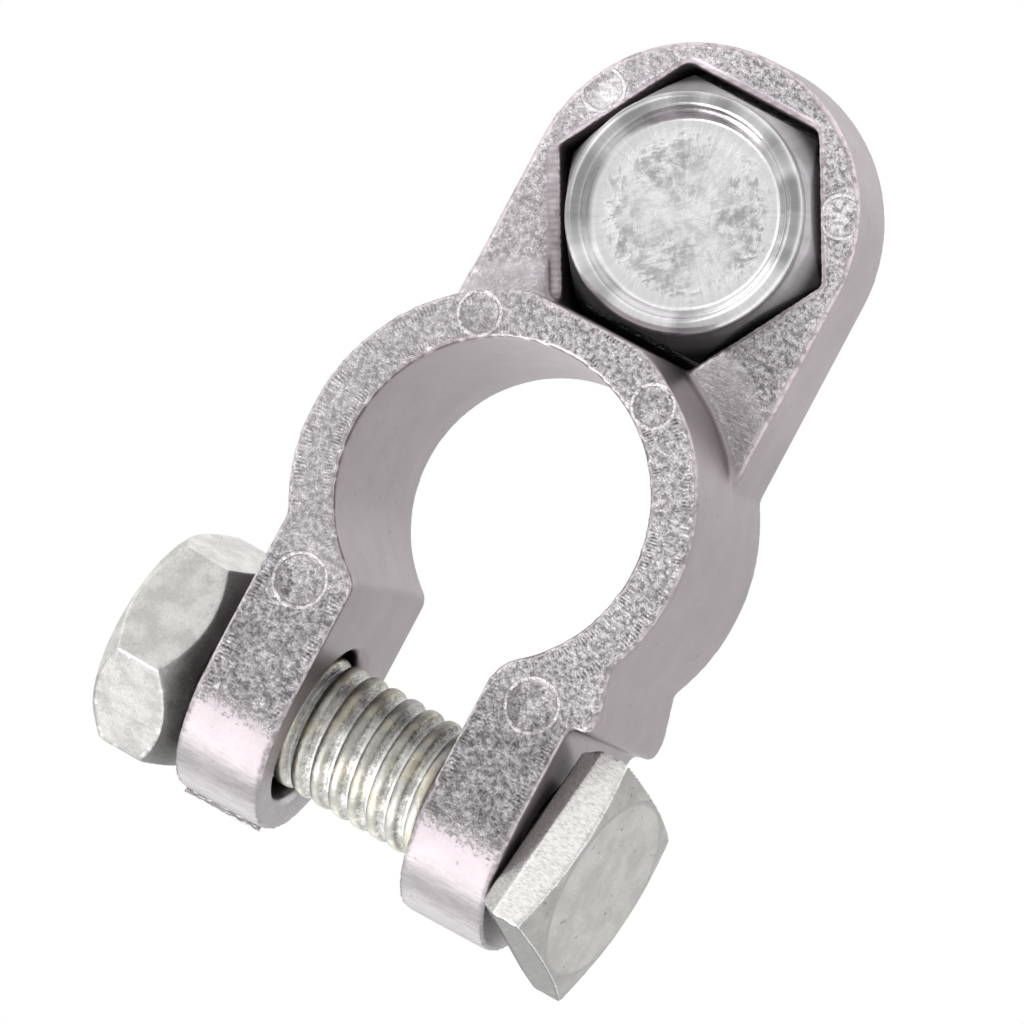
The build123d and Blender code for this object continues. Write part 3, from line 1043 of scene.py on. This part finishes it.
class CLAMP_OT_stage(bpy.types.Operator):
    """Add the floor, the lamps, the white surroundings and the camera"""

    bl_idname = "clamp.stage"
    bl_label = "Stage"

    def execute(self, context):
        settings = context.scene.clamp_stage
        context.scene.view_settings.view_transform = "Standard"
        self.floor()
        self.surroundings(context)
        # Each lamp's name, place, width, height and power.
        lamps = (
            ("key", (0.17, -0.48, -0.32), 0.3, 0.65, settings.key_power),
            ("fill_left", (0.45, 0.1, -0.4), 0.4, 0.4, settings.fill_power),
            ("fill_top", (-0.2, 0.45, 0.45), 0.4, 0.4, settings.fill_power),
            ("fill_front", (0.1, -0.5, 0.45), 0.4, 0.4, settings.fill_power),
        )
        for name, place_m, width, height, power in lamps:
            self.lamp(name, Vector(place_m), width, height, power)
        self.camera(context)
        return {"FINISHED"}

    def floor(self):
        """A pale floor that is seen from above only."""
        bpy.ops.object.select_all(action="DESELECT")
        bpy.ops.mesh.primitive_circle_add(
            vertices=64, radius=FLOOR_R, fill_type="NGON", location=(0, 0, FLOOR_Z)
        )
        floor = bpy.context.object
        floor.name = "floor"
        material = bpy.data.materials.new("pale_floor")
        material.use_nodes = True
        graph = Graph(material.node_tree)
        light = graph.add("LightPath")
        from_above = graph.less(graph.add("NewGeometry").outputs["Backfacing"])
        seen = graph.times(light.outputs["Is Camera Ray"], from_above)
        pale = graph.add("BsdfDiffuse", {"Color": (0.9, 0.9, 0.9, 1)})
        clear = graph.add("BsdfTransparent")
        blend = graph.add("MixShader", {0: seen, 1: clear.outputs[0], 2: pale.outputs[0]})
        output = graph.nodes["Material Output"]
        graph.links.new(blend.outputs[0], output.inputs["Surface"])
        floor.data.materials.append(material)

    def surroundings(self, context):
        """White to the eye, and duller overhead and underfoot in reflections."""
        world = bpy.data.worlds.new("surroundings")
        world.use_nodes = True
        context.scene.world = world
        graph = Graph(world.node_tree)
        light = graph.add("LightPath")
        seen = light.outputs["Is Camera Ray"]
        mirrored = graph.maths(
            "MAXIMUM", light.outputs["Is Glossy Ray"], light.outputs["Is Transmission Ray"]
        )
        way = graph.add("TexCoord").outputs["Generated"]
        height = graph.add("SeparateXYZ", {0: way}).outputs["Z"]
        dome = graph.times(
            graph.ramp(height, -0.95, -0.2, 0.7, 1.0), graph.ramp(height, 0.3, 1.0, 1.0, 0.88)
        )
        plain = graph.less(graph.maths("MAXIMUM", seen, mirrored))
        strength = graph.plus(seen, graph.times(mirrored, dome), graph.times(plain, 0.5))
        background = graph.nodes["Background"]
        background.inputs["Color"].default_value = (1, 1, 1, 1)
        graph.feed(background, "Strength", strength)

    def lamp(self, name, location, width, height, power):
        """One soft lamp that faces the clamp."""
        data = bpy.data.lights.new(name, "AREA")
        data.shape = "RECTANGLE"
        data.size = width
        data.size_y = height
        data.energy = power
        lamp = bpy.data.objects.new(name, data)
        bpy.context.scene.collection.objects.link(lamp)
        lamp.location = location
        lamp.rotation_euler = (-location).to_track_quat("-Z", "Y").to_euler()

    def camera(self, context):
        """The camera, which looks up at the underside."""
        data = bpy.data.cameras.new("camera")
        data.sensor_width = SENSOR_MM
        data.lens = CAMERA_LENS_MM
        data.clip_start = CAMERA_NEAR
        data.clip_end = CAMERA_FAR
        camera = bpy.data.objects.new("camera", data)
        context.scene.collection.objects.link(camera)
        camera.location = CAMERA_PLACE
        aim = (CAMERA_AIM - CAMERA_PLACE).to_track_quat("-Z", "Y").to_matrix().to_4x4()
        roll = Matrix.Rotation(math.radians(CAMERA_ROLL_DEG), 4, "Z")
        camera.rotation_euler = (aim @ roll).to_euler()
        context.scene.camera = camera


class CLAMP_PT_panel(bpy.types.Panel):
    """The clamp's pieces and settings"""

    bl_idname = "CLAMP_PT_panel"
    bl_label = "Battery Terminal Clamp"
    bl_space_type = "VIEW_3D"
    bl_region_type = "UI"
    bl_category = "Clamp"

    def draw(self, context):
        column = self.layout.column()
        for name in ("clamp_casting", "clamp_fasteners", "clamp_stage"):
            group = getattr(context.scene, name)
            for key in group.bl_rna.properties.keys():
                if key not in ("rna_type", "name"):
                    column.prop(group, key)
        for operator in OPERATORS:
            column.operator(operator.bl_idname)


OPERATORS = (
    CLAMP_OT_casting,
    CLAMP_OT_bolts,
    CLAMP_OT_nuts,
    CLAMP_OT_stage,
)
GROUPS = {
    "clamp_casting": CastingSettings,
    "clamp_fasteners": FastenerSettings,
    "clamp_stage": StageSettings,
}


def register():
    """Registers the settings, the operators and the panel."""
    for name, group in GROUPS.items():
        bpy.utils.register_class(group)
        setattr(bpy.types.Scene, name, PointerProperty(type=group))
    for operator in OPERATORS:
        bpy.utils.register_class(operator)
    bpy.utils.register_class(CLAMP_PT_panel)


def unregister():
    """Takes them away again."""
    bpy.utils.unregister_class(CLAMP_PT_panel)
    for operator in reversed(OPERATORS):
        bpy.utils.unregister_class(operator)
    for name, group in reversed(GROUPS.items()):
        delattr(bpy.types.Scene, name)
        bpy.utils.unregister_class(group)


def main():
    """Builds everything."""
    register()
    bpy.ops.clamp.casting()
    bpy.ops.clamp.bolts()
    bpy.ops.clamp.nuts()
    bpy.ops.clamp.stage()


if __name__ == "__main__":
    main()
